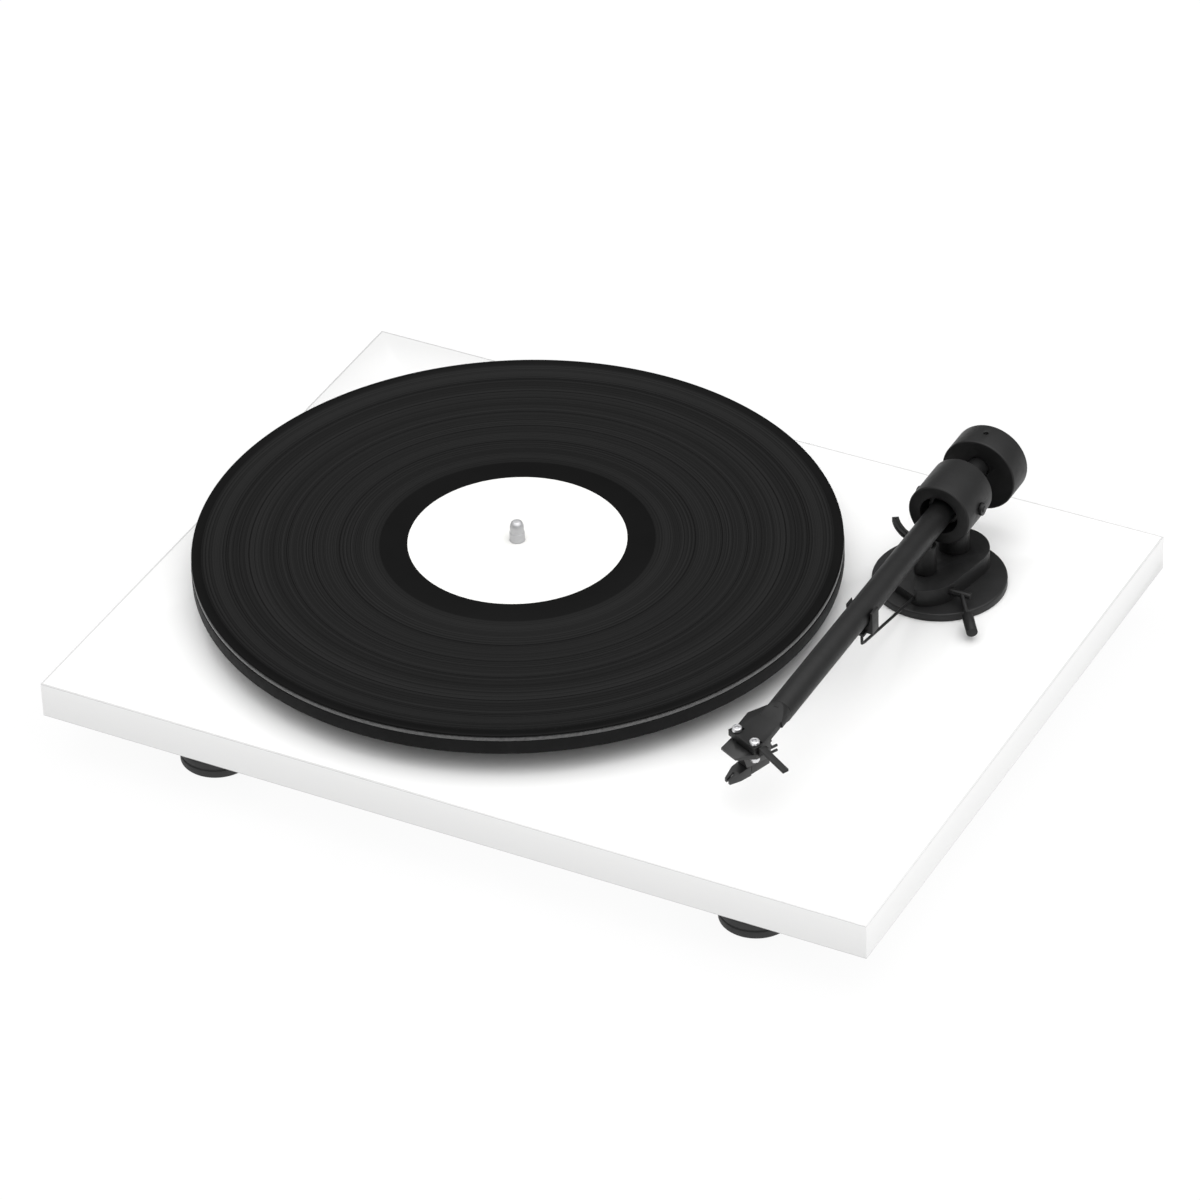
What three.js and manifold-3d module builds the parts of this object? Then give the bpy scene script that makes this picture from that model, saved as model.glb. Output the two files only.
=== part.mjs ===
// A belt-driven record player: white slab plinth on four feet, platter with mat and record on a
// sub-platter, and a straight tonearm with an offset headshell, a damped lift and an arm rest.
// Millimetres, +Z up. The origin is on the surface it stands on, below the middle of the plinth.
import * as THREE from "three";
import { mergeVertices } from "three/addons/utils/BufferGeometryUtils.js";
import Module from "manifold-3d";

const wasm = await Module();
wasm.setup();

// ---------------------------------------------------------------- driving dimensions

const CLEAR = 0.2; // gap between pieces that touch or run in each other
const ROUND = 60; // sides of the widest circles

const PLINTH = { width: 420, depth: 325, height: 18 };
const FOOT = { height: 25, baseRadius: 17.4, neckRadius: 13.5, inset: 71, setBack: 35 };
const PLINTH_BASE = FOOT.height;
const DECK = PLINTH_BASE + PLINTH.height; // height of the plinth's top face

const PLATTER = { x: -49, y: 3.9, radius: 152.4, base: DECK + 12.3, thickness: 6.9 };
const MAT = { radius: 152.2, thickness: 2 };
const RECORD = { radius: 152.2, thickness: 1.3 };
const LABEL = { radius: 51.3, thickness: 0.2 };
const SPINDLE = { radius: 3.6, rise: 10.8 };
const SUB_PLATTER = { beltRadius: 62.5, rimRadius: 66, base: DECK + 2.4 };
const BEARING = { radius: 10, flangeRadius: 17, bottom: 20 };

const BELT = { width: 4.5, thickness: 0.7, base: DECK + 5 };
const PULLEY = { radius: 7.5, flangeRadius: 9 };
const MOTOR = { x: -132.5, y: 72.3, radius: 18, height: 19 };
const MOTOR_BAY = { width: 104, depth: 92, x: -134, y: 54, ceiling: DECK - 6 };
const COVER = { drop: 13, wall: 2, margin: 6 };
const MOTOR_TOP = MOTOR_BAY.ceiling - 2.6;
const SHAFT = { radius: 1.5, base: MOTOR_TOP - 6 };
const SOCKETS = { x: 75, y: 148, z: PLINTH_BASE - 9, width: 66, half: 8.5 };
const SWITCH = { x: -176, y: -104, width: 22, depth: 32, drop: 8 };

const YAW = { x: 132, y: 96.8 }; // the upright axis that the tonearm swings about
const PITCH_Y = 93; // the level axis that it tips about
const ARM_Z = DECK + 41.6; // height of the tube's centre line
const TUBE = { radius: 6, bore: 5.2, front: -88, back: 87.5 };
const HOUSING = { radius: 15.4, bore: 9.5, front: 79.5, back: 105.7 };
const WEIGHT = { radius: 18.5, front: 123.2, back: 138.7, drop: 4.6 };
const WEIGHT_SCREW_Y = (WEIGHT.front + WEIGHT.back) / 2 + 1;
const STUB = { radius: 5, back: 137.5 };

const ARM_DISC = { x: 130.2, y: 84.8, radius: 31.7, thickness: 4 };
const PLATFORM = { backRadius: 16.7, frontRadius: 16.6, top: DECK + 13, stepTop: DECK + 9 };
const PILLAR = { radius: 7.2, bore: 4.2, top: DECK + 23.6 };
const LIFT = { x: 127.7, y: 74, radius: 5.4, top: DECK + 28, rodRadius: 1.2 };
const BANK = { radius: 27.5, width: 3.2, base: DECK + 30, thickness: 2.5, from: -88, to: -148 };
const LEVER = { y: 69, z: DECK + 9, end: 153.4, rodX: 148.6 };
const KNOB = { radius: 2.7, tip: [163.8, 47.8, DECK + 5.5], length: 11.5 };

const HEAD = { x: 128.2, y: -113.6, offset: 26, halfWidth: 9.4, top: DECK + 43.8, plate: 3.2 };
const SCREW = { spacing: 12.7, radius: 1.2, headRadius: 2.35, headHeight: 2 };
const CARTRIDGE = { top: DECK + 39.6, flangeBase: DECK + 36.8, base: DECK + 30, halfWidth: 8.6 };
const STYLUS = { tipZ: DECK + 23.1, back: 9.5, holderFront: 0.2, holderTop: CARTRIDGE.base - 0.1 };

const REST_WIRE = {
  radius: 0.75,
  start: [129.3, 60.5, DECK + 8],
  bend: [135.1, -9.4, DECK + 27.8],
  end: [135.1, -9.4, DECK + 35.4],
};
const CRADLE = { front: -8, back: -1.5, outer: 139.8, base: DECK + 33.6, top: DECK + 45 };

const RECORD_TOP = PLATTER.base + PLATTER.thickness + MAT.thickness + RECORD.thickness;

// ---------------------------------------------------------------- materials

function finish(color, roughness, metalness = 0) {
  return new THREE.MeshStandardMaterial({ color, roughness, metalness });
}

const white = finish(0xf4f4f3, 0.35);
const black = finish(0x1b1b1c, 0.45);
const vinyl = finish(0x141415, 0.3);
const felt = finish(0x55565a, 0.95);
const paper = finish(0xf8f8f4, 0.8);
const rubber = finish(0x18181a, 0.85);
const plastic = finish(0x26272a, 0.6);
const steel = finish(0xc9cbce, 0.3, 1);
const brass = finish(0xb9975a, 0.35, 1);
const board = finish(0x1f5a36, 0.6);

// ---------------------------------------------------------------- solids

// A closed geometry as a solid, with its faces turned outwards.
function solidOf(geometry) {
  const bare = geometry.index ? geometry.toNonIndexed() : geometry.clone();
  bare.deleteAttribute("normal");
  bare.deleteAttribute("uv");
  const merged = mergeVertices(bare, 1e-4);
  const points = merged.attributes.position.array;
  const faces = [];
  let volume = 0;
  for (let i = 0; i < merged.index.count; i += 3) {
    const [a, b, c] = merged.index.array.slice(i, i + 3);
    if (a === b || b === c || c === a) continue;
    const [p, q, r] = [a, b, c].map((v) => new THREE.Vector3().fromArray(points, v * 3));
    volume += p.dot(q.cross(r));
    faces.push([a, b, c]);
  }
  const outward = volume < 0 ? faces.map(([a, b, c]) => [a, c, b]) : faces;
  const triVerts = new Uint32Array(outward.flat());
  return new wasm.Manifold(new wasm.Mesh({ numProp: 3, vertProperties: points, triVerts }));
}

function geometryOf(solid) {
  const mesh = solid.getMesh();
  const geometry = new THREE.BufferGeometry();
  geometry.setAttribute("position", new THREE.BufferAttribute(mesh.vertProperties, 3));
  geometry.setIndex(new THREE.BufferAttribute(mesh.triVerts, 1));
  geometry.computeVertexNormals();
  return geometry;
}

function join(first, ...others) {
  return others.reduce((sum, next) => sum.add(solidOf(next)), solidOf(first));
}

function cut(solid, ...tools) {
  return tools.reduce((left, tool) => left.subtract(solidOf(tool)), solid);
}

function mesh(name, material, shape) {
  const geometry = shape instanceof THREE.BufferGeometry ? geometryOf(solidOf(shape)) : geometryOf(shape);
  const made = new THREE.Mesh(geometry, material);
  made.name = name;
  return made;
}

// ---------------------------------------------------------------- shapes

function box(x0, x1, y0, y1, z0, z1) {
  const made = new THREE.BoxGeometry(x1 - x0, y1 - y0, z1 - z0);
  return made.translate((x0 + x1) / 2, (y0 + y1) / 2, (z0 + z1) / 2);
}

// A round solid about Z from its half profile of [radius, height] points.
function turned(profile, x, y, segments = 32) {
  const points = profile.map(([radius, height]) => new THREE.Vector2(radius, height));
  return new THREE.LatheGeometry(points, segments).rotateX(Math.PI / 2).translate(x, y, 0);
}

function rod(radius, x, y, z0, z1, segments = 24) {
  return turned([[0, z0], [radius, z0], [radius, z1], [0, z1]], x, y, segments);
}

function ring(inner, outer, x, y, z0, z1, segments = 32) {
  return turned([[inner, z0], [outer, z0], [outer, z1], [inner, z1], [inner, z0]], x, y, segments);
}

// A round solid about an axis along Y.
function turnedAlongY(profile, x, z, segments = 32) {
  const points = profile.map(([radius, y]) => new THREE.Vector2(radius, y));
  return new THREE.LatheGeometry(points, segments).translate(x, 0, z);
}

function rodAlongY(radius, x, z, y0, y1, segments = 32) {
  return turnedAlongY([[0, y0], [radius, y0], [radius, y1], [0, y1]], x, z, segments);
}

function rodAlongX(radius, y, z, x0, x1, segments = 20) {
  const made = new THREE.CylinderGeometry(radius, radius, x1 - x0, segments);
  return made.rotateZ(Math.PI / 2).translate((x0 + x1) / 2, y, z);
}

// A flat outline of [x, y] points, raised from z0 to z1.
function slab(points, z0, z1) {
  const shape = new THREE.Shape(points.map(([x, y]) => new THREE.Vector2(x, y)));
  return new THREE.ExtrudeGeometry(shape, { depth: z1 - z0, bevelEnabled: false }).translate(0, 0, z0);
}

// An outline of [y, z] points, drawn out along X.
function sideSlab(points, x0, x1) {
  const shape = new THREE.Shape(points.map(([y, z]) => new THREE.Vector2(y, z)));
  const made = new THREE.ExtrudeGeometry(shape, { depth: x1 - x0, bevelEnabled: false });
  return made.rotateY(Math.PI / 2).rotateX(Math.PI / 2).translate(x0, 0, 0);
}

function arcPoints(x, y, radius, fromDegrees, toDegrees, steps) {
  return Array.from({ length: steps + 1 }, (_, i) => {
    const angle = THREE.MathUtils.degToRad(fromDegrees + ((toDegrees - fromDegrees) * i) / steps);
    return [x + radius * Math.cos(angle), y + radius * Math.sin(angle)];
  });
}

// A round wire along a smooth path of [x, y, z] points, whose corners are rounded by bendRadius.
function wire(points, radius, bendRadius) {
  const corners = points.map(([x, y, z]) => new THREE.Vector3(x, y, z));
  const path = new THREE.CurvePath();
  let start = corners[0];
  for (let i = 1; i < corners.length - 1; i++) {
    const before = corners[i - 1].clone().sub(corners[i]).setLength(bendRadius).add(corners[i]);
    const after = corners[i + 1].clone().sub(corners[i]).setLength(bendRadius).add(corners[i]);
    path.add(new THREE.LineCurve3(start, before));
    path.add(new THREE.QuadraticBezierCurve3(before, corners[i], after));
    start = after;
  }
  path.add(new THREE.LineCurve3(start, corners.at(-1)));
  const section = new THREE.Shape().absarc(0, 0, radius, 0, 2 * Math.PI);
  const options = { steps: 22, curveSegments: 4, bevelEnabled: false, extrudePath: path };
  return new THREE.ExtrudeGeometry(section, options);
}

// Turns a shape drawn about the headshell's own axes, with -Y forwards, into its place on the arm.
function atHead(geometry) {
  return geometry.rotateZ(THREE.MathUtils.degToRad(-HEAD.offset)).translate(HEAD.x, HEAD.y, 0);
}

// ---------------------------------------------------------------- plinth and feet

function plinth() {
  const halfWidth = PLINTH.width / 2;
  const halfDepth = PLINTH.depth / 2;
  const bay = MOTOR_BAY;
  const slabSolid = solidOf(box(-halfWidth, halfWidth, -halfDepth, halfDepth, PLINTH_BASE, DECK));
  const through = [PLINTH_BASE - 1, DECK + 1];
  const drilled = cut(
    slabSolid,
    rod(BEARING.radius + CLEAR, PLATTER.x, PLATTER.y, ...through),
    rod(PULLEY.flangeRadius + 2, MOTOR.x, MOTOR.y, ...through),
    rod(8, YAW.x, YAW.y, ...through),
    box(
      bay.x - bay.width / 2,
      bay.x + bay.width / 2,
      bay.y - bay.depth / 2,
      bay.y + bay.depth / 2,
      PLINTH_BASE - 1,
      bay.ceiling,
    ),
  );
  return mesh("plinth", white, drilled);
}

// The foot is a moulded neck that flares to a broad base.
function foot(name, x, y) {
  const profile = [
    [0, 0],
    [FOOT.baseRadius - 1.2, 0],
    [FOOT.baseRadius, 1.2],
    [FOOT.baseRadius, 8.5],
    [FOOT.neckRadius, 13],
    [FOOT.neckRadius, FOOT.height - CLEAR],
    [0, FOOT.height - CLEAR],
  ];
  return mesh(name, rubber, turned(profile, x, y, 24));
}

function feet() {
  const x = PLINTH.width / 2 - FOOT.inset;
  const y = PLINTH.depth / 2 - FOOT.setBack;
  return [
    foot("foot_front_left", -x, -y),
    foot("foot_front_right", x, -y),
    foot("foot_rear_left", -x, y),
    foot("foot_rear_right", x, y),
  ];
}

// ---------------------------------------------------------------- underside: drive, board, sockets

function bottomCover() {
  const halfWidth = MOTOR_BAY.width / 2 + COVER.margin;
  const halfDepth = MOTOR_BAY.depth / 2 + COVER.margin;
  const { x, y } = MOTOR_BAY;
  const base = PLINTH_BASE - COVER.drop;
  const top = PLINTH_BASE - CLEAR;
  const outside = box(x - halfWidth, x + halfWidth, y - halfDepth, y + halfDepth, base, top);
  const inside = box(
    x - halfWidth + COVER.wall,
    x + halfWidth - COVER.wall,
    y - halfDepth + COVER.wall,
    y + halfDepth - COVER.wall,
    base + COVER.wall,
    top + 1,
  );
  const posts = coverScrewPlaces().map(([px, py]) => rod(3.4, px, py, base + 0.5, top, 10));
  const holes = coverScrewPlaces().map(([px, py]) => rod(1.5 + CLEAR, px, py, base - 1, top + 1, 8));
  const sinks = coverScrewPlaces().map(([px, py]) => rod(3, px, py, base - 1, base + 1.6, 12));
  const shell = posts.reduce((sum, post) => sum.add(solidOf(post)), cut(solidOf(outside), inside));
  return mesh("bottom_cover", plastic, cut(shell, ...holes, ...sinks));
}

function coverScrewPlaces() {
  const dx = MOTOR_BAY.width / 2 + 1;
  const dy = MOTOR_BAY.depth / 2 + 1;
  const { x, y } = MOTOR_BAY;
  return [[x - dx, y - dy], [x + dx, y - dy], [x - dx, y + dy], [x + dx, y + dy]];
}

function coverScrews() {
  const base = PLINTH_BASE - COVER.drop;
  return coverScrewPlaces().map(([x, y], i) => {
    const head = turned([[0, base], [2.6, base], [2.6, base + 1.4], [0, base + 1.4]], x, y, 12);
    const shank = rod(1.4, x, y, base + 1, PLINTH_BASE - 2 * CLEAR, 8);
    const slot = box(x - 1.6, x + 1.6, y - 0.4, y + 0.4, base - 1, base + 0.7);
    return mesh(`cover_screw_${i + 1}`, steel, cut(join(head, shank), slot));
  });
}

function motor() {
  const top = MOTOR_TOP;
  const base = top - MOTOR.height;
  const profile = [
    [0, base],
    [MOTOR.radius - 2, base],
    [MOTOR.radius, base + 2],
    [MOTOR.radius, top],
    [5, top],
    [5, top + 2],
    [SHAFT.radius + CLEAR, top + 2],
    [SHAFT.radius + CLEAR, SHAFT.base - CLEAR],
    [0, SHAFT.base - CLEAR],
  ];
  return mesh("motor", steel, turned(profile, MOTOR.x, MOTOR.y, 24));
}

function motorMount() {
  const [base, top] = [MOTOR_BAY.ceiling - 2.4, MOTOR_BAY.ceiling - CLEAR];
  const plate = slab(arcPoints(MOTOR.x, MOTOR.y, 27, 45, 315, 3), base, top);
  return mesh("motor_mount", plastic, cut(solidOf(plate), rod(5.5, MOTOR.x, MOTOR.y, base - 1, top + 1)));
}

// The pulley is fixed on the motor's shaft, which runs down into the motor's boss.
function pulley() {
  const flange = PULLEY.flangeRadius;
  const low = BELT.base - 1;
  const high = BELT.base + BELT.width + 1;
  const profile = [
    [0, SHAFT.base],
    [SHAFT.radius, SHAFT.base],
    [SHAFT.radius, low - 1.2],
    [flange, low - 1.2],
    [flange, low],
    [PULLEY.radius, low + 0.6],
    [PULLEY.radius, high - 0.6],
    [flange, high],
    [flange, high + 1],
    [0, high + 1],
  ];
  return mesh("motor_pulley", brass, turned(profile, MOTOR.x, MOTOR.y, 20));
}

// The belt runs straight between the two wheels and round the outside of each.
function beltOutline(extra) {
  const dx = MOTOR.x - PLATTER.x;
  const dy = MOTOR.y - PLATTER.y;
  const distance = Math.hypot(dx, dy);
  const heading = THREE.MathUtils.radToDeg(Math.atan2(dy, dx));
  const [big, small] = [SUB_PLATTER.beltRadius + extra, PULLEY.radius + extra];
  const contact = THREE.MathUtils.radToDeg(Math.acos((big - small) / distance));
  const smallArc = arcPoints(MOTOR.x, MOTOR.y, small, heading - contact, heading + contact, 8);
  const bigArc = arcPoints(PLATTER.x, PLATTER.y, big, heading + contact, heading + 360 - contact, 40);
  return [...smallArc, ...bigArc];
}

function belt() {
  const [base, top] = [BELT.base, BELT.base + BELT.width];
  const outside = slab(beltOutline(CLEAR + BELT.thickness), base, top);
  const inside = slab(beltOutline(CLEAR), base - 1, top + 1);
  return mesh("drive_belt", rubber, cut(solidOf(outside), inside));
}

function circuitBoard() {
  const z = PLINTH_BASE + 1;
  const [x, y] = [MOTOR_BAY.x, MOTOR_BAY.y - 27];
  const plate = box(x - 44, x + 44, y - 17, y + 17, z, z + 1.6);
  const chip = box(x - 8, x + 8, y - 6, y + 6, z + 1.2, z + 4);
  const capacitors = [-30, -20, 22].map((dx) => rod(3.5, x + dx, y + 6, z + 1.2, z + 9, 10));
  const connector = box(x + 26, x + 40, y - 14, y - 6, z + 1.2, z + 8);
  return mesh("circuit_board", board, join(plate, chip, connector, ...capacitors));
}

// The outlet box hangs below the plinth's rear edge, with its sockets facing backwards.
function terminalBlock() {
  const { x, y, z, width, half } = SOCKETS;
  const [low, high] = [z - half, PLINTH_BASE - CLEAR];
  const outside = box(x - width / 2, x + width / 2, y - 22, y, low, high);
  const holes = [-22, -8, 22].map((dx) => rodAlongY(3.2, x + dx, z, y - 8, y + 1, 16));
  const post = rodAlongY(1.7, x + 7, z, y - 6, y + 1, 12);
  return mesh("terminal_block", plastic, cut(solidOf(outside), ...holes, post));
}

function phonoSocket(name, dx, material) {
  const { x, y, z } = SOCKETS;
  const profile = [
    [0, y - 6],
    [3, y - 6],
    [3, y + CLEAR],
    [5.4, y + CLEAR],
    [5.4, y + 1.6],
    [4.2, y + 1.6],
    [4.2, y + 9],
    [2.2, y + 9],
    [2.2, y + 1],
    [0, y + 1],
  ];
  return mesh(name, material, turnedAlongY(profile, x + dx, z, 16));
}

function groundPost() {
  const { x, y, z } = SOCKETS;
  const profile = [
    [0, y - 5],
    [1.5, y - 5],
    [1.5, y + CLEAR],
    [4, y + CLEAR],
    [4, y + 5.5],
    [3.2, y + 6.3],
    [0, y + 6.3],
  ];
  return mesh("ground_post", steel, turnedAlongY(profile, x + 7, z, 14));
}

function powerSocket() {
  const { x, y, z } = SOCKETS;
  const profile = [
    [0, y - 6],
    [3, y - 6],
    [3, y + CLEAR],
    [4.6, y + CLEAR],
    [4.6, y + 2],
    [2.5, y + 2],
    [2.5, y - 4.5],
    [0.9, y - 4.5],
    [0.9, y + 1],
    [0, y + 1],
  ];
  return mesh("power_socket", black, turnedAlongY(profile, x + 22, z, 16));
}

function switchHousing() {
  const { x, y, width, depth, drop } = SWITCH;
  const [low, high] = [PLINTH_BASE - drop, PLINTH_BASE - CLEAR];
  const outside = box(x - width / 2, x + width / 2, y - depth / 2, y + depth / 2, low, high);
  const [halfWell, halfDepth] = [width / 2 - 4, depth / 2 - 4];
  const well = box(x - halfWell, x + halfWell, y - halfDepth, y + halfDepth, low - 1, high - 1.5);
  return mesh("switch_housing", plastic, cut(solidOf(outside), well));
}

// The rocker's two faces meet in a shallow ridge under its pivot.
function switchRocker() {
  const { x, y, width, depth, drop } = SWITCH;
  const low = PLINTH_BASE - drop;
  const reach = depth / 2 - 4.6;
  const outline = [
    [y - reach, low - 0.2],
    [y, low - 1.6],
    [y + reach, low - 0.2],
    [y + reach - 1.2, low + 2.6],
    [y, low + 4.2],
    [y - reach + 1.2, low + 2.6],
  ];
  return mesh("switch_rocker", black, sideSlab(outline, x - width / 2 + 4.4, x + width / 2 - 4.4));
}

// ---------------------------------------------------------------- platter, record and their bearing

function mainBearing() {
  const { radius, flangeRadius, bottom } = BEARING;
  const bore = SPINDLE.radius + 0.1;
  const profile = [
    [0, bottom],
    [radius - 2, bottom],
    [radius, bottom + 2],
    [radius, DECK + CLEAR],
    [flangeRadius, DECK + CLEAR],
    [flangeRadius, DECK + 1.6],
    [bore, DECK + 1.6],
    [bore, bottom + 3],
    [0, bottom + 3],
  ];
  return mesh("main_bearing", brass, turned(profile, PLATTER.x, PLATTER.y, 24));
}

function thrustBall() {
  const ball = new THREE.SphereGeometry(2.4, 12, 8);
  return mesh("thrust_ball", steel, ball.translate(PLATTER.x, PLATTER.y, BEARING.bottom + 5.6));
}

function spindle() {
  const { radius, rise } = SPINDLE;
  const base = BEARING.bottom + 8.2;
  const top = RECORD_TOP + rise;
  const profile = [
    [0, base],
    [radius - 0.6, base],
    [radius, base + 0.6],
    [radius, top - 2.4],
    [radius - 1, top - 0.8],
    [radius - 2.3, top],
    [0, top],
  ];
  return mesh("spindle", steel, turned(profile, PLATTER.x, PLATTER.y, 20));
}

function subPlatter() {
  const { beltRadius, rimRadius, base } = SUB_PLATTER;
  const top = PLATTER.base - CLEAR;
  const bore = SPINDLE.radius + 0.15;
  const profile = [
    [bore, base],
    [rimRadius, base],
    [rimRadius, base + 1.8],
    [beltRadius, base + 1.8],
    [beltRadius, top],
    [bore, top],
    [bore, base],
  ];
  return mesh("sub_platter", plastic, turned(profile, PLATTER.x, PLATTER.y, 48));
}

function platter() {
  const { x, y, radius, base, thickness } = PLATTER;
  const bevel = 0.5;
  const bore = SPINDLE.radius + CLEAR;
  const profile = [
    [bore, base],
    [radius - bevel, base],
    [radius, base + bevel],
    [radius, base + thickness - bevel],
    [radius - bevel, base + thickness],
    [bore, base + thickness],
    [bore, base],
  ];
  return mesh("platter", black, turned(profile, x, y, ROUND));
}

function feltMat() {
  const base = PLATTER.base + PLATTER.thickness + 0.05;
  const top = base + MAT.thickness - 0.1;
  const disc = ring(SPINDLE.radius + 0.4, MAT.radius, PLATTER.x, PLATTER.y, base, top, ROUND);
  return mesh("felt_mat", felt, disc);
}

// The record is thicker at its raised edge and label area than across its grooves.
function record() {
  const { radius, thickness } = RECORD;
  const base = RECORD_TOP - thickness;
  const bore = SPINDLE.radius + 0.1;
  const profile = [
    [bore, base],
    [radius, base],
    [radius, RECORD_TOP],
    [radius - 3.4, RECORD_TOP],
    [radius - 4.6, RECORD_TOP - 0.3],
    [LABEL.radius + 14, RECORD_TOP - 0.3],
    [LABEL.radius + 12, RECORD_TOP],
    [bore, RECORD_TOP],
    [bore, base],
  ];
  return mesh("record", vinyl, turned(profile, PLATTER.x, PLATTER.y, ROUND));
}

function recordLabel() {
  const base = RECORD_TOP + 0.02;
  const top = base + LABEL.thickness;
  const disc = ring(SPINDLE.radius + 0.1, LABEL.radius, PLATTER.x, PLATTER.y, base, top, 48);
  return mesh("record_label", paper, disc);
}

// ---------------------------------------------------------------- tonearm base, pillar and rest

function armDisc() {
  const { x, y, radius, thickness } = ARM_DISC;
  const [base, top] = [DECK + 0.02, DECK + thickness];
  const profile = [[0, base], [radius, base], [radius, top - 0.5], [radius - 0.5, top], [0, top]];
  const bore = rod(PILLAR.radius - 1.2 + CLEAR, YAW.x, YAW.y, base - 1, top + 1);
  return mesh("arm_base_disc", black, cut(solidOf(turned(profile, x, y, 72)), bore));
}

// Two round ends, one about the pillar and one about the lift, joined by straight sides. The side next
// to the platter is stepped down, and the shape is drawn anticlockwise from the pillar's right side.
function platform() {
  const { backRadius, frontRadius, top, stepTop } = PLATFORM;
  const base = DECK + ARM_DISC.thickness + 0.02;
  const lean = THREE.MathUtils.radToDeg(Math.atan2(YAW.x - LIFT.x, YAW.y - LIFT.y));
  const back = arcPoints(YAW.x, YAW.y, backRadius, -lean, 180 - lean, 24);
  const outline = [...back, ...arcPoints(LIFT.x, LIFT.y, frontRadius, 180 - lean, 360 - lean, 24)];
  const stepLine = [
    [LIFT.x + 3.5, LIFT.y - 20],
    [LIFT.x - 0.4, LIFT.y - 10.6],
    [LIFT.x - 5.7, LIFT.y + 0.2],
    [YAW.x - 18, YAW.y],
    [YAW.x - 40, YAW.y],
    [LIFT.x - 40, LIFT.y - 20],
  ];
  const frontFlat = [
    [LIFT.x - 20, LIFT.y - 5.6],
    [LIFT.x + 4, LIFT.y - 16.9],
    [LIFT.x - 6, LIFT.y - 30],
    [LIFT.x - 30, LIFT.y - 20],
  ];
  const solid = cut(
    solidOf(slab(outline, base, top)),
    slab(stepLine, stepTop, top + 1),
    slab(frontFlat, base - 1, top + 1),
    rod(PILLAR.radius - 1.2 + CLEAR, YAW.x, YAW.y, base - 1, top + 1),
    rodAlongX(1.6 + CLEAR, LEVER.y, LEVER.z, LIFT.x - 2, LIFT.x + 30),
    rod(LIFT.rodRadius + CLEAR, LIFT.x, LIFT.y, base + 2, top + 1, 16),
    rodAlongY(REST_WIRE.radius + CLEAR, REST_WIRE.start[0], REST_WIRE.start[2], LIFT.y - 20, LIFT.y - 12, 12),
  );
  return mesh("arm_platform", black, solid);
}

// The pillar's foot goes down through the disc and the plinth, and a nut below holds it.
function pillar() {
  const footRadius = PILLAR.radius - 1.2;
  const seat = PLATFORM.top + 0.05;
  const profile = [
    [PILLAR.bore, PLINTH_BASE - 7],
    [footRadius, PLINTH_BASE - 7],
    [footRadius, seat],
    [PILLAR.radius, seat],
    [PILLAR.radius, PILLAR.top - 0.6],
    [PILLAR.radius - 0.6, PILLAR.top],
    [PILLAR.bore, PILLAR.top],
    [PILLAR.bore, PLINTH_BASE - 7],
  ];
  return mesh("arm_pillar", black, turned(profile, YAW.x, YAW.y, 36));
}

function pillarNut() {
  const [base, top] = [PLINTH_BASE - 5, PLINTH_BASE - CLEAR];
  const hexagon = slab(arcPoints(YAW.x, YAW.y, 12.5, 0, 300, 5), base, top);
  const bore = rod(PILLAR.radius - 1.2 + CLEAR, YAW.x, YAW.y, base - 1, top + 1);
  return mesh("pillar_nut", steel, cut(solidOf(hexagon), bore));
}

function restWire() {
  const { start, bend, end, radius } = REST_WIRE;
  const lead = [start[0], start[1] - 2.5, start[2]];
  return mesh("arm_rest_wire", black, wire([start, lead, bend, end], radius, 1.2));
}

// The cradle wraps the tube's underside and outer side. Its tongue stays below the tube's path.
function restCradle() {
  const { front, back, outer, base, top } = CRADLE;
  const inner = TUBE.radius + 0.6;
  const right = box(YAW.x, outer, front, back, base, top);
  const tongue = slab(
    [
      [YAW.x - 12.4, 12.2],
      [YAW.x - 12.4, 6.4],
      [YAW.x - 0.5, front],
      [YAW.x + 1.4, front],
      [YAW.x + 1.4, front - 3.2],
      [YAW.x + 5, front - 3.2],
      [YAW.x + 5, back],
      [YAW.x + 0.8, back],
    ],
    base,
    base + 1.2,
  );
  const lip = slab(
    [[YAW.x - 12.4, 12.2], [YAW.x - 12.4, 6.4], [YAW.x - 11.4, 5.6], [YAW.x - 11.4, 11.2]],
    base + 0.5,
    base + 1.7,
  );
  const channel = rodAlongY(inner, YAW.x, ARM_Z, front - 1, back + 1);
  const above = box(YAW.x - 1, YAW.x + inner, front - 1, back + 1, ARM_Z, top + 1);
  const socket = rod(REST_WIRE.radius + 0.1, REST_WIRE.end[0], REST_WIRE.end[1], base - 1, base + 3, 12);
  return mesh("arm_rest_cradle", black, cut(join(right, tongue, lip), channel, above, socket));
}

// ---------------------------------------------------------------- arm lift

function liftPost() {
  const { x, y, radius, top, rodRadius } = LIFT;
  const base = PLATFORM.top + 0.05;
  const profile = [
    [rodRadius + CLEAR, base],
    [radius, base],
    [radius, top - 0.8],
    [radius - 0.8, top],
    [rodRadius + CLEAR, top],
    [rodRadius + CLEAR, base],
  ];
  return mesh("lift_post", black, turned(profile, x, y, 32));
}

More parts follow.
